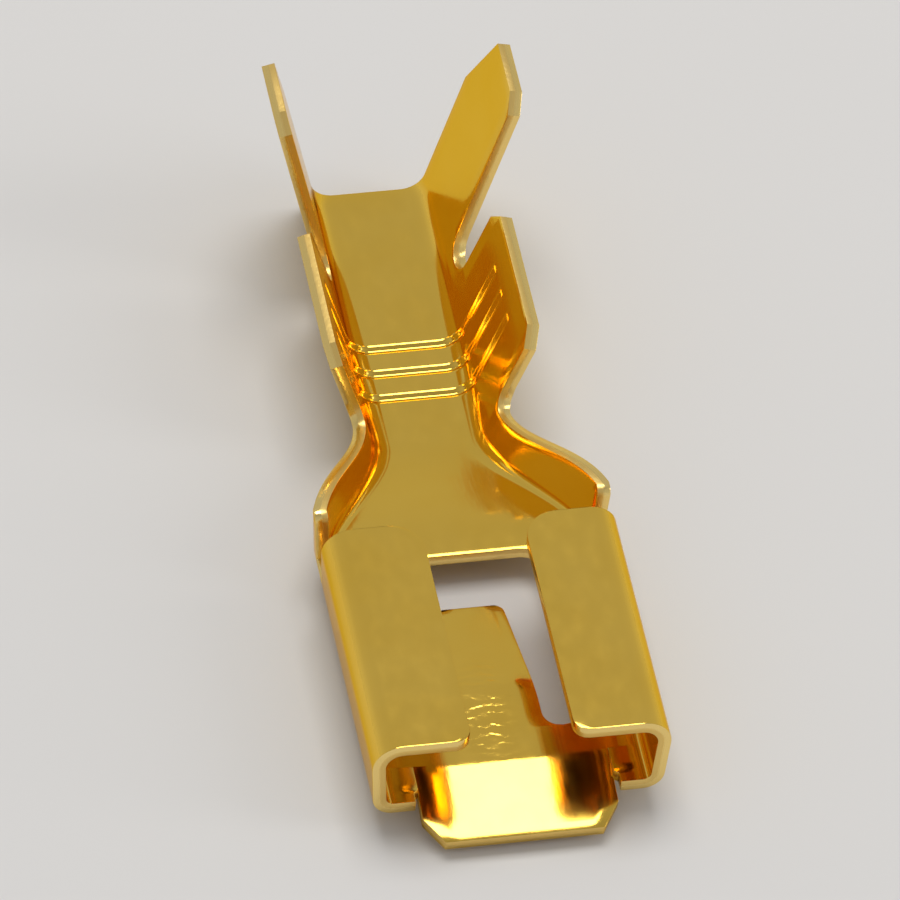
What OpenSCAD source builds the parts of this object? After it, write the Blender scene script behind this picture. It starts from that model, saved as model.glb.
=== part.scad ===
// Female spade terminal: an uninsulated crimp receptacle folded from one sheet of brass.
// Millimetres. Length along Y with the mouth toward -Y, width along X, flaps upward (+Z).
// The lowest points, the tongue's tip and the barrel's underside, are at z = 0.

/* [Sheet] */

// Thickness of the brass sheet
sheet_t = 0.35; // [0.28:0.01:0.42]

/* [Receptacle] */

// Overall width across the two rolls
recep_w = 7.7; // [7.3:0.05:8.6]
// Overall height of the rolls, floor underside to flap top
recep_h = 2.5; // [2.3:0.05:3.2]
// Length of the rolls
roll_len = 7.5; // [6.9:0.1:9]
// Outer radius of the bend between floor and side wall
base_r = 0.56; // [0.5:0.02:0.7]
// Outer radius of the bend between side wall and flap
roll_r = 0.78; // [0.7:0.02:0.95]
// How far the lower bend sits inside the upper one
wall_inset = 0.08; // [0:0.01:0.14]
// Gap between the facing edges of the two flaps
flap_gap = 2.65; // [1.6:0.05:3.2]
// Plan radius on the flaps' inner corners at the mouth
flap_front_r = 0.4; // [0.2:0.05:0.6]
// Plan radius on the flaps' inner corners at the rear
flap_rear_r = 0.9; // [0.5:0.05:1.1]

/* [Mouth lip] */

// Width of the floor strip that forms the lip
lip_w = 5.05; // [4.4:0.05:5.4]
// How far the lip reaches in front of the rolls
lip_reach = 1.1; // [0.7:0.05:1.6]
// How far inside the mouth the lip starts to curve down
lip_root = 1.2; // [0.8:0.05:1.5]
// Angle the lip turns down through
lip_angle = 22; // [12:1:24]
// Width of each chamfered front corner
lip_chamfer_w = 0.5; // [0.2:0.05:0.8]
// Length of each chamfered front corner
lip_chamfer_len = 0.75; // [0.3:0.05:0.9]
// Width of the relief slit between the lip and each roll
relief_w = 0.12; // [0.08:0.01:0.2]
// Depth of the relief slit behind the rolls' front edge
relief_len = 0.3; // [0.15:0.05:0.5]

/* [Locking tongue] */

// Distance of the slots' front ends behind the rolls' front edge
slot_setback = 2.1; // [1.7:0.05:2.4]
// Width of the slot along each side of the tongue
slot_w = 0.95; // [0.8:0.05:1.05]
// Width of the tongue at its root
tongue_root_w = 2.15; // [1.9:0.05:2.3]
// Width of the tongue at its free end
tongue_tip_w = 1.8; // [1.4:0.05:1.9]
// Plan length of the tongue behind the slots' front ends
tongue_len = 4.8; // [4.3:0.05:5.1]
// Length of the tongue that stays in the floor before it turns down
tongue_flat = 1.3; // [1.2:0.05:1.7]
// Drop of the tongue's free end below the floor
tongue_drop = 0.65; // [0.55:0.05:0.9]
// Underside radius of the bend that turns the tongue down
tongue_bend_r = 2.0; // [1:0.1:3]
// Plan radius on the tongue's free corners
tongue_tip_r = 0.3; // [0.15:0.05:0.4]
// Clear length of the window behind the tongue's free end
window_len = 1.3; // [1.1:0.05:1.35]
// Plan radius in the window's rear corners
window_r = 0.45; // [0.2:0.05:0.6]

/* [Neck] */

// Length of the notch between each roll and the neck's wall
notch_len = 0.85; // [0.8:0.05:1.2]
// Height left of the bend at the bottom of the notch
notch_z = 0.5; // [0.42:0.02:0.6]
// Length of the straight shoulder before the neck narrows
shoulder_len = 0.3; // [0.25:0.05:0.6]
// Plan radius on the upper front corner of the shoulder wall
shoulder_r = 0.25; // [0.1:0.05:0.25]
// Length over which the neck narrows to the barrel
neck_len = 4.25; // [3.8:0.05:6]
// Height of the neck's wall at the shoulder
neck_front_h = 2.1; // [1.6:0.05:2.2]
// Height of the neck's wall where it meets the barrel
neck_rear_h = 1.5; // [1.35:0.05:1.8]
// Radius that runs the neck's wall up into the crimp wing
neck_fillet_r = 0.5; // [0.2:0.05:0.8]
// Drop of the barrel's underside below the receptacle's floor
barrel_drop = 0.65; // [0.3:0.05:0.9]

/* [Crimp barrel] */

// Width of the flat along the barrel's underside
barrel_flat_w = 1.8; // [1.4:0.05:2.2]
// Outer radius of the barrel's two lower bends
barrel_r = 1.0; // [0.8:0.05:1.15]
// Length of the conductor wings
cond_len = 4.8; // [4:0.1:6]
// Height of the conductor wings above the barrel's underside
cond_h = 3.9; // [3.2:0.05:4.6]
// Outward lean of the conductor wings
cond_splay = 18; // [14:1:24]
// Chamfer on the conductor wings' upper corners
cond_chamfer = 0.45; // [0.2:0.05:0.8]
// Length of the slot between the two pairs of wings
gap_len = 1.0; // [0.7:0.05:1.3]
// Height of the trough left under that slot
gap_z = 1.25; // [1.1:0.05:1.6]
// Length of the insulation wings
ins_len = 3.2; // [2.6:0.1:4]
// Height of the insulation wings above the barrel's underside
ins_h = 6.6; // [5.2:0.1:7.4]
// Outward lean of the insulation wings
ins_splay = 14; // [6:1:16]
// Chamfer on the insulation wings' front upper corners
ins_front_chamfer = 0.45; // [0.2:0.05:0.9]
// Taper at the insulation wings' rear upper corners, along the length
ins_rear_len = 1.0; // [0.4:0.05:1.4]
// Taper at the insulation wings' rear upper corners, down the wing
ins_rear_h = 2.2; // [0.4:0.1:3]

/* [Serrations] */

// Number of grooves across the inside of the conductor barrel
groove_count = 3; // [1:1:4]
// Spacing of the grooves
groove_pitch = 0.88; // [0.7:0.02:1]
// Width of each groove
groove_w = 0.34; // [0.2:0.02:0.44]
// Depth of each groove
groove_depth = 0.08; // [0.04:0.01:0.12]
// Height the grooves reach up the wings
groove_h = 3.0; // [1.6:0.1:3.1]

/* [Hidden] */

$fn = 96;
eps = 0.01;
// Length of cutters that pass right through the sheet or the whole part
through = 20;
// Inset of the loft's faces where it starts inside the sheet of the shoulder
seam = 0.02;
// Length of that overlap
lap = 0.12;
// Length over which the neck's wall jumps to the height of the crimp wing
wing_edge = 0.02;
// Facets per bend and steps along the lofted neck
bend_steps = 8;
neck_steps = 14;
// Starting slope of the plan curve at the neck's shoulder
shoulder_slope = 0.8;

// Height of the receptacle's and the barrel's undersides above the resting plane
floor_z = max(barrel_drop, tongue_drop);
barrel_z = floor_z - barrel_drop;

// Stations along Y, from the lip's front edge to the rear of the barrel
total_len = lip_reach + roll_len + notch_len + shoulder_len + neck_len + cond_len + gap_len + ins_len;
y_lip = -total_len / 2;
y_roll = y_lip + lip_reach;
y_slot = y_roll + slot_setback;
y_notch = y_roll + roll_len;
y_shoulder = y_notch + notch_len;
y_neck = y_shoulder + shoulder_len;
y_cond = y_neck + neck_len;
y_gap = y_cond + cond_len;
y_ins = y_gap + gap_len;
y_end = y_ins + ins_len;
y_tongue = y_slot + tongue_len;
y_window = y_tongue + window_len;

// Bend centres of the receptacle's section and the lean of the wall tangent to both bends
base_x = recep_w / 2 - wall_inset - base_r;
roll_x = recep_w / 2 - roll_r;
roll_z = recep_h - roll_r;
wall_dx = roll_x - base_x;
wall_dz = roll_z - base_r;
wall_span = norm([wall_dx, wall_dz]);
wall_lean = atan2(wall_dx, wall_dz) + asin((roll_r - base_r) / wall_span);
wall_run = sqrt(wall_span * wall_span - pow(roll_r - base_r, 2));

// Underside radius of the lip, so that its upper front edge lands at the front of the part
lip_r = (lip_reach + lip_root) / sin(lip_angle) - sheet_t;

// Lean of the tongue, from its underside's tangent to the bend and the drop of its free end
tongue_run = tongue_len - tongue_flat;
tongue_span = norm([tongue_run, tongue_bend_r - tongue_drop]);
tongue_angle = 90 - atan2(tongue_bend_r - tongue_drop, tongue_run) - acos(tongue_bend_r / tongue_span);
tongue_straight = sqrt(tongue_span * tongue_span - tongue_bend_r * tongue_bend_r);

brass = [0.80, 0.65, 0.31];

// Length of wing above the bend that brings its tip to height h
function wing_run(h, splay) = (h - barrel_r + barrel_r * sin(splay)) / cos(splay);

// Cubic from 0 to 1 with a given starting slope and a level end
function ease(u, slope) = slope * (u * u * u - 2 * u * u + u) + 3 * u * u - 2 * u * u * u;

// Part of a bent strip of sheet: outer radius r, from angle a0 to angle a1, at most a quarter turn
module bend(r, a0, a1, thick = sheet_t) {
    reach = 2 * r;
    intersection() {
        difference() {
            circle(r);
            circle(r - thick);
        }
        polygon([
            [0, 0],
            [reach * cos(a0), reach * sin(a0)],
            [reach * cos((a0 + a1) / 2), reach * sin((a0 + a1) / 2)],
            [reach * cos(a1), reach * sin(a1)]
        ]);
    }
}

// Right half and left half of a section that is symmetric about X = 0
module both_sides() {
    children();
    mirror([1, 0, 0]) children();
}

// Extrudes an X-Z section along Y from y0 to y1
module along_y(y0, y1) {
    translate([0, y1, 0])
        rotate([90, 0, 0])
            linear_extrude(y1 - y0) children();
}

// Extrudes a Y-Z profile across X to a total width
module across_x(width) {
    rotate([90, 0, 90])
        linear_extrude(width, center = true) children();
}

// Section of the receptacle: floor, two walls and two inturned flaps
module receptacle_section() {
    translate([-base_x, 0]) square([2 * base_x, sheet_t]);
    both_sides() {
        translate([base_x, base_r]) {
            bend(base_r, -90, -wall_lean);
            rotate(-wall_lean) translate([base_r - sheet_t, 0]) square([sheet_t, wall_run]);
        }
        translate([roll_x, roll_z]) bend(roll_r, -wall_lean, 90);
        translate([flap_gap / 2, recep_h - sheet_t]) square([roll_x - flap_gap / 2, sheet_t]);
    }
}

// Corner left between a square corner at the origin and a circle that rounds it, toward +X +Y
module corner_waste(r) {
    difference() {
        translate([-eps, -eps]) square(r + eps);
        translate([r, r]) circle(r);
    }
}

// Plan of the slots beside the tongue and of the window behind it
module window_plan() {
    half = tongue_root_w / 2 + slot_w;
    y_full = y_slot + slot_w;
    both_sides() {
        translate([half - slot_w / 2, y_slot + slot_w / 2]) circle(slot_w / 2);
        translate([half - slot_w, y_slot + slot_w / 2]) square([slot_w, slot_w]);
        translate([half - window_r, y_window - window_r]) circle(window_r);
    }
    translate([-half, y_full]) square([2 * half, y_window - window_r - y_full]);
    translate([window_r - half, y_full]) square([2 * (half - window_r), y_window - y_full]);
}

// Plan of the free part of the tongue, tapered and with rounded free corners
module tongue_plan() {
    y_taper = y_tongue - tongue_tip_r;
    polygon([
        [-tongue_root_w / 2, y_slot + slot_w],
        [tongue_root_w / 2, y_slot + slot_w],
        [tongue_tip_w / 2, y_taper],
        [-tongue_tip_w / 2, y_taper]
    ]);
    translate([tongue_tip_r - tongue_tip_w / 2, y_taper])
        square([tongue_tip_w - 2 * tongue_tip_r, tongue_tip_r]);
    both_sides() translate([tongue_tip_w / 2 - tongue_tip_r, y_taper]) circle(tongue_tip_r);
}

// Rolls, floor and shoulder, folded from one strip
module receptacle() {
    difference() {
        along_y(y_roll, y_neck + eps) receptacle_section();
        flap_corners();
        // Notch down to the floor between the rolls and the shoulder
        translate([-through / 2, y_notch, notch_z]) cube([through, notch_len, through]);
        // The shoulder stands lower than the rolls, with its front corner rounded
        translate([-through / 2, y_shoulder - eps, neck_front_h]) cube([through, through, through]);
        across_x(through) translate([y_shoulder, neck_front_h]) mirror([0, 1]) corner_waste(shoulder_r);
        // Slots and window through the floor
        translate([0, 0, -eps]) linear_extrude(sheet_t + 2 * eps) window_plan();
        // Room for the lip and its relief slits
        translate([-lip_w / 2, y_roll - eps, -eps]) cube([lip_w, lip_root + eps, sheet_t + 2 * eps]);
        translate([-lip_w / 2 - relief_w, y_roll - eps, -eps])
            cube([lip_w + 2 * relief_w, relief_len + eps, sheet_t + 2 * eps]);
    }
    lip();
    tongue();
}

// Waste at the rounded inner corners of both flaps
module flap_corners() {
    translate([0, 0, recep_h / 2])
        linear_extrude(through)
            both_sides() {
                translate([flap_gap / 2, y_roll]) corner_waste(flap_front_r);
                translate([flap_gap / 2, y_notch]) mirror([0, 1]) corner_waste(flap_rear_r);
            }
}

// Lip in front of the mouth, curved down and chamfered at its front corners
module lip() {
    difference() {
        across_x(lip_w)
            translate([y_roll + lip_root, -lip_r]) bend(lip_r + sheet_t, 90, 90 + lip_angle);
        translate([0, 0, -through / 2])
            linear_extrude(through)
                both_sides()
                    polygon([
                        [lip_w / 2 - lip_chamfer_w, y_lip],
                        [lip_w / 2 - lip_chamfer_w, y_lip - eps],
                        [lip_w / 2 + eps, y_lip - eps],
                        [lip_w / 2 + eps, y_lip + lip_chamfer_len],
                        [lip_w / 2, y_lip + lip_chamfer_len]
                    ]);
    }
}

// Locking tongue: flat at its root, then bent down in a straight ramp
module tongue() {
    y_bend = y_slot + tongue_flat;
    intersection() {
        across_x(tongue_root_w) {
            translate([y_slot + slot_w, 0]) square([tongue_flat - slot_w, sheet_t]);
            translate([y_bend, -tongue_bend_r]) {
                bend(tongue_bend_r + sheet_t, 90, 90 - tongue_angle);
                rotate(-tongue_angle)
                    translate([0, tongue_bend_r]) square([tongue_straight + sheet_t, sheet_t]);
            }
        }
        translate([0, 0, -through / 2]) linear_extrude(through) tongue_plan();
    }
}

// Closed X-Z path round a trough of sheet: half width of its flat, outer and inner bend radius,
// lean of its walls, centre height of its bends, and height of the walls' tips
function trough_path(flat, r_out, r_in, lean, centre_z, tip_z) =
    let (
        run = (tip_z - centre_z + r_in * sin(lean)) / cos(lean),
        tip = [flat + run * sin(lean), centre_z + run * cos(lean)],
        angles = [for (i = [0:bend_steps]) -lean - (90 - lean) * i / bend_steps],
        right_out = concat(
            [tip + r_out * [cos(lean), -sin(lean)]],
            [for (a = angles) [flat, centre_z] + r_out * [cos(a), sin(a)]]
        ),
        right_in = concat(
            [tip + r_in * [cos(lean), -sin(lean)]],
            [for (a = angles) [flat, centre_z] + r_in * [cos(a), sin(a)]]
        ),
        last = bend_steps + 1
    )
    concat(
        right_out,
        [for (i = [last:-1:0]) [-right_out[i][0], right_out[i][1]]],
        [for (p = right_in) [-p[0], p[1]]],
        [for (i = [last:-1:0]) right_in[i]]
    );

// Path of the neck at u, from 0 at the shoulder to 1 at the barrel
function neck_path(u) =
    let (
        r = base_r + (barrel_r - base_r) * u,
        low = floor_z + (barrel_z - floor_z) * ease(u, 0),
        inset = seam * (1 - ease(u, 0)),
        into_fillet = max(0, neck_fillet_r - (1 - u) * neck_len),
        rise = neck_fillet_r - sqrt(neck_fillet_r * neck_fillet_r - into_fillet * into_fillet)
    )
    trough_path(
        base_x + (barrel_flat_w / 2 - base_x) * ease(u, shoulder_slope),
        r - inset,
        r - sheet_t + inset,
        wall_lean + (cond_splay - wall_lean) * ease(u, 0),
        low + r,
        low + neck_front_h + (neck_rear_h - neck_front_h) * ease(u, 0) + rise - inset
    );

// Path of the barrel for a given lean and height of its wings
function barrel_path(splay, h) =
    trough_path(barrel_flat_w / 2, barrel_r, barrel_r - sheet_t, splay, barrel_z + barrel_r, barrel_z + h);

// Path of a skin that reaches the groove depth into the inner face of the conductor barrel
function groove_path() =
    let (face_r = barrel_r - sheet_t)
    trough_path(barrel_flat_w / 2, face_r + groove_depth, face_r - groove_depth,
        cond_splay, barrel_z + barrel_r, barrel_z + groove_h);

// Solid through a list of [station along Y, closed X-Z path], all paths of the same even length
module loft(rings) {
    n = len(rings[0][1]);
    count = len(rings);
    points = [for (ring = rings) for (p = ring[1]) [p[0], ring[0], p[1]]];
    sides = [
        for (k = [0:count - 2])
            for (i = [0:n - 1])
                let (a = k * n + i, b = k * n + (i + 1) % n)
                    each [[b, a, b + n], [b + n, a, a + n]]
    ];
    // Each end is a row of quads from the outer half of the path to the inner one
    ends = [
        for (i = [0:n / 2 - 2])
            let (a = i, b = i + 1, c = n - 2 - i, d = n - 1 - i, far = (count - 1) * n)
                each [[a, b, c], [a, c, d], [far + c, far + b, far + a], [far + d, far + c, far + a]]
    ];
    polyhedron(points, concat(ends, sides));
}

// Neck and barrel as one loft: it narrows, deepens and steps down, then rises into the crimp wings
module neck_and_barrel() {
    us = [for (i = [0:neck_steps]) 0.5 * i / neck_steps + 0.5 * sin(90 * i / neck_steps)];
    loft(concat(
        [[y_neck - lap, neck_path(0)]],
        [for (u = us) [y_neck + u * neck_len, neck_path(u)]],
        [
            [y_cond + wing_edge, barrel_path(cond_splay, cond_h)],
            [y_gap, barrel_path(cond_splay, cond_h)],
            [y_ins, barrel_path(ins_splay, ins_h)],
            [y_end, barrel_path(ins_splay, ins_h)]
        ]
    ));
}

// The loft trimmed to the outline of its two pairs of wings, with the serrations pressed in
module crimp_end() {
    difference() {
        neck_and_barrel();
        translate([0, 0, barrel_z]) across_x(through) wing_waste();
        grooves();
    }
}

// Y-Z outline of what is cut from the wings
module wing_waste() {
    y_mid = y_gap + gap_len / 2;
    // Slot between the two pairs of wings, round at its bottom
    translate([y_mid, gap_z + gap_len / 2]) circle(gap_len / 2);
    translate([y_gap, gap_z + gap_len / 2]) square([gap_len, through]);
    // Chamfered upper corners of both pairs
    wing_corner(y_cond, cond_h, cond_chamfer, cond_chamfer);
    translate([y_gap, 0]) mirror([1, 0]) wing_corner(0, cond_h, cond_chamfer, cond_chamfer);
    wing_corner(y_ins, ins_h, ins_front_chamfer, ins_front_chamfer);
    translate([y_end, 0]) mirror([1, 0]) wing_corner(0, ins_h, ins_rear_len, ins_rear_h);
}

// Waste above a chamfer that starts at station y on a wing of height h
module wing_corner(y, h, run, drop) {
    polygon([[y - eps, h - drop], [y, h - drop], [y + run, h], [y + run, h + 1], [y - eps, h + 1]]);
}

// Serrations pressed across the inside of the conductor barrel
module grooves() {
    for (i = [0:groove_count - 1]) {
        y = y_cond + cond_len / 2 + (i - (groove_count - 1) / 2) * groove_pitch;
        loft([[y - groove_w / 2, groove_path()], [y + groove_w / 2, groove_path()]]);
    }
}

module terminal() {
    color(brass) {
        translate([0, 0, floor_z]) receptacle();
        crimp_end();
    }
}

terminal();
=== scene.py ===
import bpy
import math
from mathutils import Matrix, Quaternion, Vector


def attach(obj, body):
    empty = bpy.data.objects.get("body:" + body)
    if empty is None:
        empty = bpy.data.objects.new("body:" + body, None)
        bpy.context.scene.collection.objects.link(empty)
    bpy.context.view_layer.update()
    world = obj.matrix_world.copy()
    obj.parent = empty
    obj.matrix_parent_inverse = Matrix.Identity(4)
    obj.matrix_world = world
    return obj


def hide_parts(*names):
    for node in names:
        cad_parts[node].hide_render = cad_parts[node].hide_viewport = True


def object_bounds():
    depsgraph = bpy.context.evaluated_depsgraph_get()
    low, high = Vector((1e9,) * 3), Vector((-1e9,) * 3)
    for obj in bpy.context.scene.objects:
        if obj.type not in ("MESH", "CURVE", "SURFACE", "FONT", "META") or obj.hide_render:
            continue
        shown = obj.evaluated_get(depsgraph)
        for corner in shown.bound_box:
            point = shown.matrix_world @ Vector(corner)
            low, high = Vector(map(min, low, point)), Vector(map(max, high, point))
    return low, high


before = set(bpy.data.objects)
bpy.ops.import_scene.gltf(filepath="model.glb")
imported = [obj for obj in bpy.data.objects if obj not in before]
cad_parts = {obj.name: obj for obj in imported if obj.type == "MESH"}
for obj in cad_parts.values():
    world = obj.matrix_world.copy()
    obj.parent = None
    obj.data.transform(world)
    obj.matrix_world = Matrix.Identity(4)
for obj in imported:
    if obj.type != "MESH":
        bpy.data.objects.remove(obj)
cad_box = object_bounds()

# ---------------------------------------------------------------- terminal
# One strip of brass, 0.35 mm thick, blanked and folded in a progressive press tool:
# a receptacle with two rolls and a locking tongue, a narrowing neck, and an open crimp barrel.
# Its faces keep their rolled finish, and tumbling has barely broken its sheared edges.

# Sizes are in millimetres, and s is the distance behind the front edge of the lip
SHEET = 0.35
HALF = SHEET / 2
LENGTH = round(1000 * (cad_box[1][1] - cad_box[0][1]), 3)
FLOOR_Z = 0.65

RECEP_W, RECEP_H = 7.7, 2.5
BASE_R, ROLL_R, WALL_INSET = 0.56, 0.78, 0.08
FLAP_EDGE = 2.65 / 2
FLAP_FRONT_R, FLAP_REAR_R = 0.4, 0.9
ROLL_FRONT, ROLL_REAR = 1.1, 8.6

LIP_HALF, LIP_ROOT = 5.05 / 2, 2.3
LIP_BEND_R, LIP_ANGLE = 1.2, math.radians(10.9)
CHAMFER_W, CHAMFER_L = 0.5, 0.75
RELIEF_W, RELIEF_END = 0.12, 1.4

SLOT_FRONT, SLOT_W = 3.2, 0.95
TONGUE_ROOT, TONGUE_TIP = 2.15 / 2, 1.8 / 2
TONGUE_TAPER, TONGUE_BEND, TONGUE_END = 4.15, 4.5, 8.0
TONGUE_DROP, TONGUE_BEND_R, TONGUE_CORNER = 0.65, 2.0, 0.3
WINDOW_END, WINDOW_R = 9.3, 0.45

WALL_START, NECK_START, BARREL_START = 9.45, 9.75, 14.0
SHOULDER_H, NECK_REAR_H, SHOULDER_R, FILLET_R = 2.1, 1.5, 0.25, 0.5

BARREL_FLAT, BARREL_R = 1.8 / 2, 1.0
COND_END, COND_H, COND_LEAN, COND_CUT = 18.8, 3.9, math.radians(18), 0.45
GAP_Z, INS_START = 1.25, 19.8
GAP_R = (INS_START - COND_END) / 2
INS_H, INS_LEAN, INS_FRONT_CUT = round(1000 * cad_box[1][2], 3), math.radians(14), 0.45
INS_REAR_CUT, INS_REAR_DROP = 1.0, 2.2
GROOVES, GROOVE_W, GROOVE_DEPTH, GROOVE_H = (15.52, 16.4, 17.28), 0.34, 0.08, 3.0
EDGE_BREAK = 0.02

base_x = RECEP_W / 2 - WALL_INSET - BASE_R
roll_x, roll_z = RECEP_W / 2 - ROLL_R, RECEP_H - ROLL_R
wall_span = math.hypot(roll_x - base_x, roll_z - BASE_R)
wall_lean = math.atan2(roll_x - base_x, roll_z - BASE_R) + math.asin((ROLL_R - BASE_R) / wall_span)
lip_bend = LIP_BEND_R * math.sin(LIP_ANGLE)
tongue_run = TONGUE_END - TONGUE_BEND
tongue_lean = (math.pi / 2 - math.atan2(TONGUE_BEND_R - TONGUE_DROP, tongue_run)
               - math.acos(TONGUE_BEND_R / math.hypot(tongue_run, TONGUE_BEND_R - TONGUE_DROP)))

# Half of the strip is a grid of points: so many across the floor, each bend, a wall and a flap
FLOOR, BEND, WALL, FLAP = 6, 12, 4, 6
SLOT_COLUMN, RELIEF_COLUMN = 2, 4
bend_end = FLOOR + BEND
wall_top = bend_end + WALL
columns = wall_top + 1 + BEND + FLAP
# Behind the window the floor's points lie at these shares of its half width
FLOOR_SHARES = (0, 0.25, 0.49, 0.63, 0.787, 0.787)
# In front of the slots their two columns draw in to this far from the middle of the slot
SLOT_LEAD = 0.25
# The insulation wings have a row of points at this height
INS_MID = 3.6
# A row of points closer than this to the row before it is left out
CLOSEST_ROWS = 0.012


def ease(u, slope):
    """From 0 to 1, starting with a slope and ending level."""
    return slope * (u ** 3 - 2 * u * u + u) + 3 * u * u - 2 * u ** 3


def between(a, b, u):
    """Part of the way from one value to another."""
    return a + (b - a) * u


def quarter(radius, into):
    """How much a rounded corner takes off at a distance from its end."""
    into = min(max(into, 0), radius)
    return radius - math.sqrt(radius * radius - (radius - into) ** 2)


def rounding(end, radius, degrees, rear=False):
    """Stations along a rounded corner, behind its front end or in front of its rear end."""
    if rear:
        return {end - radius * (1 - math.sin(math.radians(k))) for k in degrees}
    return {end + radius * (1 - math.cos(math.radians(k))) for k in degrees}


def neck_u(s):
    """How far along the neck a station is, from 0 to 1."""
    return min(max((s - NECK_START) / (BARREL_START - NECK_START), 0), 1)


# Stations where the blank has a row of points, closer together along its curves. The first is set
# back, because the lip slopes down and its upper edge leans forward to zero.
rows = {HALF * math.sin(LIP_ANGLE), 0.3, 0.55, CHAMFER_L, 0.93, RELIEF_END, 1.75, 2.0, 2.35, 2.75}
rows |= {LIP_ROOT - lip_bend * k / 5 for k in range(6)}
rows |= rounding(ROLL_FRONT, FLAP_FRONT_R, (0, 22, 40, 56, 73, 90))
rows |= rounding(SLOT_FRONT, SLOT_W / 2, (0, 22, 35, 48, 61, 75, 90))
rows |= {TONGUE_TAPER, TONGUE_BEND} | {TONGUE_BEND + 0.1 * k for k in range(1, 5)} | {5.4, 6.0, 6.6, 7.2}
rows |= rounding(TONGUE_END, TONGUE_CORNER, (0, 20, 38, 54, 68, 90), rear=True)
rows |= rounding(ROLL_REAR, FLAP_REAR_R, (30, 41, 52, 62, 71, 80, 90), rear=True)
rows |= rounding(WINDOW_END, WINDOW_R, (0, 20, 38, 54, 70, 90), rear=True)
rows |= rounding(WALL_START, SHOULDER_R, (0, 30, 52, 72, 90))
rows |= {between(NECK_START, BARREL_START, k / 26) for k in range(25)}
rows |= rounding(BARREL_START, FILLET_R, (12, 30, 47, 64, 90), rear=True)
rows |= {BARREL_START + COND_CUT, 14.9, COND_END - COND_CUT, COND_END}
for groove in GROOVES:
    rows |= {groove + GROOVE_W / 2 * share / 4 for share in (-5, -4, -3, -2, -1, 0, 1, 2, 3, 4, 5)}
rows |= {(COND_END + INS_START) / 2 - GAP_R * math.cos(math.radians(k)) for k in range(0, 181, 18)}
rows |= {INS_START + INS_FRONT_CUT, 21.1, LENGTH - INS_REAR_CUT, 22.5, LENGTH}
stations = []
for s in sorted(rows):
    if not stations or s - stations[-1] > CLOSEST_ROWS:
        stations.append(s)


def lip_drop(s):
    """How far the lip has come down below the floor: a short bend, then straight."""
    ahead = max(LIP_ROOT - s, 0)
    bent = min(ahead, lip_bend)
    return LIP_BEND_R - math.sqrt(LIP_BEND_R ** 2 - bent ** 2) + (ahead - bent) * math.tan(LIP_ANGLE)


def tongue_drop(s):
    """How far the free tongue has come down below the floor: a bend, then straight."""
    behind = max(s - TONGUE_BEND, 0)
    mid_r = TONGUE_BEND_R + HALF
    bent = min(behind, mid_r * math.sin(tongue_lean))
    return mid_r - math.sqrt(mid_r ** 2 - bent ** 2) + (behind - bent) * math.tan(tongue_lean)


def floor_points(s):
    """Points (x, z) across half of the floor, in the middle of the sheet, above the floor's underside."""
    if s > WINDOW_END + 0.01:
        u = neck_u(s)
        wide = between(base_x, BARREL_FLAT, ease(u, 0.8))
        low = -FLOOR_Z * ease(u, 0)
        return [(wide * share, low + HALF) for share in FLOOR_SHARES]
    slot_mid = TONGUE_ROOT + SLOT_W / 2
    inner, outer = TONGUE_ROOT, TONGUE_ROOT + SLOT_W
    if s < SLOT_FRONT:
        near = max(0, (s - LIP_ROOT) / (SLOT_FRONT - LIP_ROOT))
        inner = between(inner, slot_mid - SLOT_LEAD, near)
        outer = between(outer, slot_mid + SLOT_LEAD, near)
    else:
        shy = quarter(SLOT_W / 2, s - SLOT_FRONT)
        inner, outer = inner + shy, outer - shy
    if s > TONGUE_TAPER:
        taper = min((s - TONGUE_TAPER) / (TONGUE_END - TONGUE_CORNER - TONGUE_TAPER), 1)
        inner = between(TONGUE_ROOT, TONGUE_TIP, taper) - quarter(TONGUE_CORNER, TONGUE_END - s)
    if s > TONGUE_END:
        inner = TONGUE_TIP
        outer -= quarter(WINDOW_R, WINDOW_END - s)
    lip_x = LIP_HALF
    if s < LIP_ROOT:
        lip_x -= CHAMFER_W * max(0, 1 - s / CHAMFER_L)
        inner, outer = inner * lip_x / LIP_HALF, outer * lip_x / LIP_HALF
    roll_edge = LIP_HALF + RELIEF_W if s < RELIEF_END + 0.01 else LIP_HALF
    lip_z = HALF - lip_drop(s)
    tongue_z = HALF - tongue_drop(s) if TONGUE_BEND < s < TONGUE_END + 0.01 else lip_z
    return [(0, tongue_z), (inner / 2, tongue_z), (inner, tongue_z),
            (outer, lip_z), (lip_x, lip_z), (roll_edge, HALF)]


def trough_top(s):
    """Height of the plain wall above the underside, where no crimp wing stands on it."""
    if s < NECK_START:
        return SHOULDER_H - quarter(SHOULDER_R, s - WALL_START)
    if s <= BARREL_START:
        into = min(max(s - (BARREL_START - FILLET_R), 0), FILLET_R)
        fillet = FILLET_R - math.sqrt(FILLET_R ** 2 - into ** 2)
        return between(SHOULDER_H, NECK_REAR_H, ease(neck_u(s), 0)) + fillet
    if s < COND_END:
        u = (s - BARREL_START) / (COND_END - BARREL_START)
        return between(NECK_REAR_H + FILLET_R, GAP_Z + GAP_R, u)
    if s <= INS_START + 1e-6:
        across = s - (COND_END + INS_START) / 2
        return GAP_Z + GAP_R - math.sqrt(max(0, GAP_R ** 2 - across ** 2))
    return GAP_Z + GAP_R


def wing_top(s):
    """Height of the crimp wing's edge above the underside."""
    if s <= COND_END:
        ends = min(s - BARREL_START, COND_END - s)
        return COND_H - COND_CUT + min(max(ends, 0), COND_CUT)
    front = max(0, INS_FRONT_CUT - (s - INS_START))
    rear = max(0, INS_REAR_CUT - (LENGTH - s)) * INS_REAR_DROP / INS_REAR_CUT
    return INS_H - min(front, INS_FRONT_CUT) - rear


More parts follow.
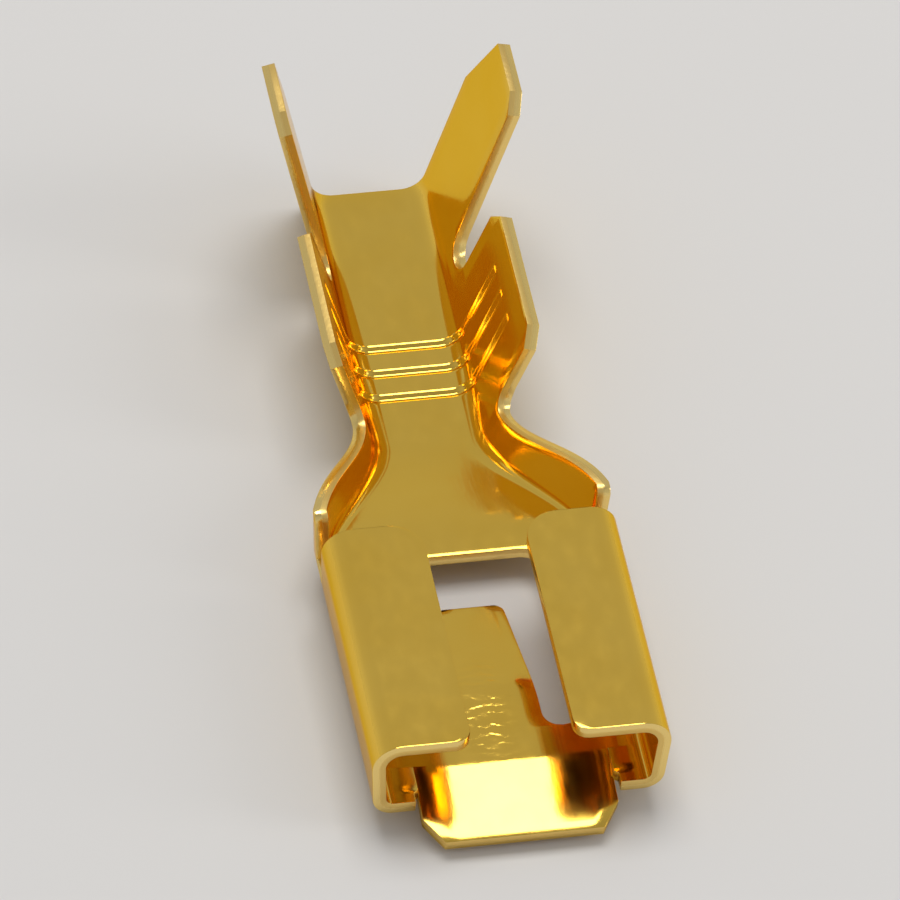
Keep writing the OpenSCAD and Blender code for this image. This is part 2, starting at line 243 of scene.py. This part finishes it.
def arc(centre, radius, first, last):
    """Points along a bend, from one angle to another."""
    angles = [between(first, last, k / BEND) for k in range(BEND + 1)]
    return [(centre[0] + radius * math.cos(a), centre[1] + radius * math.sin(a)) for a in angles]


def straight(start, end, count):
    """Points from one place to another, without the first."""
    return [(between(start[0], end[0], k / count), between(start[1], end[1], k / count))
            for k in range(1, count + 1)]


def receptacle_points(s):
    """Bend, wall, roll and flap of the receptacle."""
    edge = FLAP_EDGE + quarter(FLAP_FRONT_R, s - ROLL_FRONT) + quarter(FLAP_REAR_R, ROLL_REAR - s)
    lower = arc((base_x, BASE_R), BASE_R - HALF, -math.pi / 2, -wall_lean)
    upper = arc((roll_x, roll_z), ROLL_R - HALF, -wall_lean, math.pi / 2)
    wall = straight(lower[-1], upper[0], WALL)[:-1]
    return lower + wall + upper + straight((roll_x, RECEP_H - HALF), (edge, RECEP_H - HALF), FLAP)


def trough_points(s):
    """Bend, wall and wing of the neck and the crimp barrel."""
    u = neck_u(s)
    low = -FLOOR_Z * ease(u, 0)
    wide = between(base_x, BARREL_FLAT, ease(u, 0.8))
    radius = between(BASE_R, BARREL_R, u)
    lean = between(wall_lean, COND_LEAN, ease(u, 0))
    if s > COND_END:
        lean = between(COND_LEAN, INS_LEAN, min((s - COND_END) / (INS_START - COND_END), 1))

    def on_wall(height):
        run = (height - radius + (radius - SHEET) * math.sin(lean)) / math.cos(lean)
        return (wide + (radius - HALF) * math.cos(lean) + run * math.sin(lean),
                low + radius - (radius - HALF) * math.sin(lean) + run * math.cos(lean))

    points = arc((wide, low + radius), radius - HALF, -math.pi / 2, -lean)
    points += straight(points[-1], on_wall(trough_top(s)), WALL)
    middle = GROOVE_H if s <= COND_END else INS_MID
    steps = (BEND + FLAP) // 2
    points += [on_wall(between(trough_top(s), middle, k / steps)) for k in range(1, steps + 1)]
    points += [on_wall(between(middle, wing_top(s), k / steps)) for k in range(1, steps + 1)]
    return points


def folded(s):
    """All points across half of the strip at a station, from the middle of the floor outwards."""
    return floor_points(s) + (receptacle_points(s) if s < WALL_START - 0.01 else trough_points(s))


def kept(s, column):
    """Whether the blank still has metal between this column and the next, in the row of faces at s."""
    if s < ROLL_FRONT:
        return column < RELIEF_COLUMN
    if column == RELIEF_COLUMN:
        return False
    if SLOT_FRONT < s < TONGUE_END and column == SLOT_COLUMN:
        return False
    if TONGUE_END < s < WINDOW_END and column <= SLOT_COLUMN:
        return False
    if ROLL_REAR < s < WALL_START:
        return column < bend_end
    if WALL_START < s < BARREL_START or COND_END < s < INS_START:
        return column < wall_top
    return True


def grid_place(point):
    """Column and row of a point of the flat grid."""
    return round((point.x + 1) / 2 * (columns - 1)), round((point.y + 1) / 2 * (len(stations) - 1))


# The blank is cut, folded, and joined to its other half
bpy.ops.object.select_all(action="DESELECT")
bpy.ops.mesh.primitive_grid_add(x_subdivisions=columns - 1, y_subdivisions=len(stations) - 1, size=2)
terminal = bpy.context.object
terminal.name = "folded_terminal"
mesh = terminal.data
for face in mesh.polygons:
    column, row = min(grid_place(mesh.vertices[corner].co) for corner in face.vertices)
    face.select = not kept((stations[row] + stations[row + 1]) / 2, column)
places = [folded(s) for s in stations]
for vertex in mesh.vertices:
    column, row = grid_place(vertex.co)
    x, z = places[row][column]
    vertex.co = (x, stations[row] - LENGTH / 2, z + FLOOR_Z)
bpy.context.scene.tool_settings.mesh_select_mode = (False, False, True)
bpy.ops.object.mode_set(mode="EDIT")
bpy.ops.mesh.delete(type="FACE")
bpy.ops.mesh.select_mode(type="VERT")
bpy.ops.mesh.select_all(action="SELECT")
bpy.ops.mesh.remove_doubles(threshold=0.0005)
bpy.ops.mesh.normals_make_consistent(inside=False)
bpy.ops.object.mode_set(mode="OBJECT")

mirror = terminal.modifiers.new("other_half", "MIRROR")
mirror.use_clip = True
mirror.merge_threshold = 0.0005
bpy.ops.object.modifier_apply(modifier=mirror.name)
bpy.ops.object.mode_set(mode="EDIT")
bpy.ops.mesh.select_all(action="SELECT")
bpy.ops.mesh.normals_make_consistent(inside=False)
bpy.ops.object.mode_set(mode="OBJECT")

flat_faces, flat_points = len(terminal.data.polygons), len(terminal.data.vertices)
sheet = terminal.modifiers.new("sheet", "SOLIDIFY")
sheet.thickness = SHEET
sheet.offset = 0
sheet.use_even_offset = True
sheet.use_quality_normals = True
bpy.ops.object.modifier_apply(modifier=sheet.name)
# The rim is where the die sheared the strip, and through runs from one face of the sheet to the other
sheared = terminal.data.attributes.new("sheared", "FLOAT", "FACE")
for face in terminal.data.polygons:
    sheared.data[face.index].value = 1.0 if face.index >= 2 * flat_faces else 0.0
through = terminal.data.attributes.new("through", "FLOAT", "POINT")
for vertex in terminal.data.vertices:
    through.data[vertex.index].value = 0.0 if vertex.index < flat_points else 1.0

# Serrations: the punch presses three round-bottomed grooves across the inside
for vertex in terminal.data.vertices:
    x, z = abs(vertex.co.x), vertex.co.z
    near = min(abs(vertex.co.y + LENGTH / 2 - groove) for groove in GROOVES) / (GROOVE_W / 2)
    if near > 0.99 or z > GROOVE_H + 0.05:
        continue
    if z > BARREL_R * (1 - math.sin(COND_LEAN)):
        outward = Vector((math.cos(COND_LEAN), 0, -math.sin(COND_LEAN)))
    else:
        outward = Vector((max(x - BARREL_FLAT, 0), 0, z - BARREL_R)).normalized()
    reach = outward.dot(Vector((x - BARREL_FLAT, 0, z - BARREL_R)))
    if reach < BARREL_R - HALF:
        outward.x = math.copysign(outward.x, vertex.co.x)
        vertex.co += outward * GROOVE_DEPTH * (1 + math.cos(math.pi * near)) / 2

edges = terminal.modifiers.new("tumbled_edges", "BEVEL")
edges.width = EDGE_BREAK
edges.segments = 2
edges.limit_method = "ANGLE"
edges.angle_limit = math.radians(50)
edges.use_clamp_overlap = False
bpy.ops.object.modifier_apply(modifier=edges.name)
terminal.scale = (0.001, 0.001, 0.001)
bpy.ops.object.transform_apply(location=True, rotation=True, scale=True)
bpy.ops.object.shade_smooth_by_angle(angle=math.radians(38))

BRIGHT, TARNISHED = (0.90, 0.595, 0.10, 1.0), (0.875, 0.56, 0.08, 1.0)
BURNISHED, TORN = (0.92, 0.68, 0.24, 1.0), (0.80, 0.56, 0.18, 1.0)
GRAZING = (0.95, 0.74, 0.34, 1.0)

brass = bpy.data.materials.new("rolled_brass")
brass.use_nodes = True
nodes, links = brass.node_tree.nodes, brass.node_tree.links
shader = nodes["Principled BSDF"]
shader.inputs["Metallic"].default_value = 1.0
shader.inputs["Specular Tint"].default_value = GRAZING
coords = nodes.new("ShaderNodeTexCoord")


def squeezed(scale):
    """The place on the strip, squeezed or stretched along each axis."""
    mapping = nodes.new("ShaderNodeMapping")
    mapping.inputs["Scale"].default_value = scale
    links.new(coords.outputs["Object"], mapping.inputs["Vector"])
    return mapping.outputs["Vector"]


def pattern(name, scale, detail, stretch=None):
    """A noise on the strip, stretched along its length if asked."""
    noise = nodes.new("ShaderNodeTexNoise")
    noise.name = name
    noise.inputs["Scale"].default_value = scale
    noise.inputs["Detail"].default_value = detail
    links.new(squeezed(stretch) if stretch else coords.outputs["Object"], noise.inputs["Vector"])
    return noise.outputs["Fac"]


def painted(name):
    """A value that the mesh carries."""
    attribute = nodes.new("ShaderNodeAttribute")
    attribute.attribute_name = name
    return attribute.outputs["Fac"]


def spread(value, low, high, to_low, to_high):
    """Map a range of a pattern onto a range of a setting."""
    ranged = nodes.new("ShaderNodeMapRange")
    for socket, number in zip(("From Min", "From Max", "To Min", "To Max"), (low, high, to_low, to_high)):
        ranged.inputs[socket].default_value = number
    links.new(value, ranged.inputs["Value"])
    return ranged.outputs["Result"]


def mixed(kind, factor, first, second):
    """Blend two numbers, directions or colours."""
    mix = nodes.new("ShaderNodeMix")
    mix.data_type = kind
    socket_a, socket_b, result = {"FLOAT": (2, 3, 0), "VECTOR": (4, 5, 1), "RGBA": (6, 7, 2)}[kind]
    links.new(factor, mix.inputs["Factor"])
    for socket, end in ((socket_a, first), (socket_b, second)):
        if isinstance(end, (tuple, float)):
            mix.inputs[socket].default_value = end
        else:
            links.new(end, mix.inputs[socket])
    return mix.outputs[result]


def relief(height, strength, distance, below=None):
    """A shallow relief, laid over another if there is one."""
    bump = nodes.new("ShaderNodeBump")
    bump.inputs["Strength"].default_value = strength
    bump.inputs["Distance"].default_value = distance
    links.new(height, bump.inputs["Height"])
    if below is not None:
        links.new(below, bump.inputs["Normal"])
    return bump.outputs["Normal"]


rolling = pattern("rolling_lines", 1.0, 4.0, (9000, 220, 9000))
press_waves = pattern("press_waves", 260.0, 1.0)
tarnish = pattern("faint_tarnish", 420.0, 4.0)
rubs = pattern("rub_marks", 1.0, 4.0, (2600, 1500, 2600))
shear_lines = pattern("shear_lines", 9000.0, 2.0)
rim = painted("sheared")

# Across a cut edge, the torn half is darker and duller than the burnished half
tone = mixed("RGBA", spread(tarnish, 0.35, 0.75, 0.0, 1.0), BRIGHT, TARNISHED)
torn = spread(painted("through"), 0.45, 0.6, 0.0, 1.0)
cut_tone = mixed("RGBA", torn, BURNISHED, TORN)
links.new(mixed("RGBA", rim, tone, cut_tone), shader.inputs["Base Color"])

face_gloss = spread(rubs, 0.35, 0.75, 0.105, 0.165)
cut_gloss = mixed("FLOAT", torn, 0.18, 0.36)
links.new(mixed("FLOAT", rim, face_gloss, cut_gloss), shader.inputs["Roughness"])

# Forming leaves faint ripples in a patch across the root of the tongue
PATCH_AT, PATCH_SQUEEZE = Vector((-0.0004, -0.0076, 0.0009)), Vector((1.0, 0.42, 1.0))
ripple = nodes.new("ShaderNodeTexWave")
ripple.wave_type = "BANDS"
ripple.bands_direction = "Y"
ripple.inputs["Scale"].default_value = 960.0
ripple.inputs["Distortion"].default_value = 5.0
ripple.inputs["Detail"].default_value = 2.0
ripple.inputs["Detail Scale"].default_value = 2.4
links.new(coords.outputs["Object"], ripple.inputs["Vector"])
apart = nodes.new("ShaderNodeVectorMath")
apart.operation = "DISTANCE"
apart.inputs[1].default_value = PATCH_AT * PATCH_SQUEEZE
links.new(squeezed(PATCH_SQUEEZE), apart.inputs[0])
rippled = nodes.new("ShaderNodeMath")
rippled.operation = "MULTIPLY"
links.new(ripple.outputs["Fac"], rippled.inputs[0])
links.new(spread(apart.outputs["Value"], 0.0004, 0.0010, 1.0, 0.0), rippled.inputs[1])

waved = relief(rippled.outputs["Value"], 0.6, 0.000012, relief(press_waves, 0.35, 0.000022))
lined = relief(rolling, 0.35, 0.000004, waved)
cut_relief = relief(shear_lines, 0.5, 0.000012, waved)
links.new(mixed("VECTOR", rim, lined, cut_relief), shader.inputs["Normal"])
terminal.data.materials.clear()
terminal.data.materials.append(brass)

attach(terminal, "root")
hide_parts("terminal")

# ---------------------------------------------------------------- studio
# A pale matt table with a broad soft lamp above it and a little behind, a smaller one low on the
# right of the mouth, and a grey room for the metal to reflect.

# The table is a hundredth of a millimetre low, so that no face of the terminal lies in its plane
bpy.ops.object.select_all(action="DESELECT")
bpy.ops.mesh.primitive_plane_add(size=1.6, location=(0, 0, -0.00001))
table = bpy.context.object
table.name = "table"
matt = bpy.data.materials.new("pale_table")
matt.use_nodes = True
paint = matt.node_tree.nodes["Principled BSDF"]
paint.inputs["Base Color"].default_value = (0.68, 0.665, 0.645, 1)
paint.inputs["Roughness"].default_value = 0.85
table.data.materials.append(matt)


def lamp(name, place, size, power):
    """A rectangular lamp that faces the terminal."""
    light = bpy.data.lights.new(name, "AREA")
    light.shape = "RECTANGLE"
    light.size, light.size_y = size
    light.energy = power
    holder = bpy.data.objects.new(name, light)
    bpy.context.collection.objects.link(holder)
    holder.location = place
    holder.rotation_euler = (Vector((0, 0, 0)) - Vector(place)).to_track_quat("-Z", "Y").to_euler()


lamp("softbox_above", (0.0, 0.11, 0.42), (0.26, 0.22), 1.0)
lamp("softbox_right", (0.30, -0.10, 0.16), (0.10, 0.24), 0.18)

# The room is palest at the height of the table and darkest overhead
ROOM_GREYS = ((0.0, 0.62), (0.35, 0.50), (0.75, 0.46), (1.0, 0.30))
world = bpy.data.worlds.new("room")
world.use_nodes = True
room, wires = world.node_tree.nodes, world.node_tree.links
direction = room.new("ShaderNodeTexCoord")
split = room.new("ShaderNodeSeparateXYZ")
shade = room.new("ShaderNodeValToRGB")
for stop, (height, grey) in enumerate(ROOM_GREYS):
    band = shade.color_ramp.elements[stop] if stop < 2 else shade.color_ramp.elements.new(height)
    band.position = height
    band.color = (grey, grey, grey * 1.01, 1.0)
wires.new(direction.outputs["Generated"], split.inputs["Vector"])
wires.new(split.outputs["Z"], shade.inputs["Fac"])
wires.new(shade.outputs["Color"], room["Background"].inputs["Color"])
room["Background"].inputs["Strength"].default_value = 1.04
bpy.context.scene.world = world
bpy.context.scene.view_settings.view_transform = "Standard"

# ---------------------------------------------------------------- camera
# Above the mouth and a little to its left, turned slightly about its own axis, and far enough off
# that the sides stay almost parallel.

azimuth, elevation, roll = math.radians(-14), math.radians(47), math.radians(5)
distance, taken_in = 0.32, 0.0232
aim = Vector((0.0, -0.0001, 0.0027))
level = Vector((-math.sin(azimuth), math.cos(azimuth), 0))
look = level * math.cos(elevation) - Vector((0, 0, math.sin(elevation)))
camera_data = bpy.data.cameras.new("camera")
camera = bpy.data.objects.new("camera", camera_data)
bpy.context.collection.objects.link(camera)
camera.location = aim - look * distance
camera.rotation_euler = (look.to_track_quat("-Z", "Y") @ Quaternion((0, 0, 1), roll)).to_euler()
camera_data.sensor_width = 36
camera_data.lens = camera_data.sensor_width * distance / taken_in
camera_data.clip_start = 0.01
bpy.context.scene.camera = camera
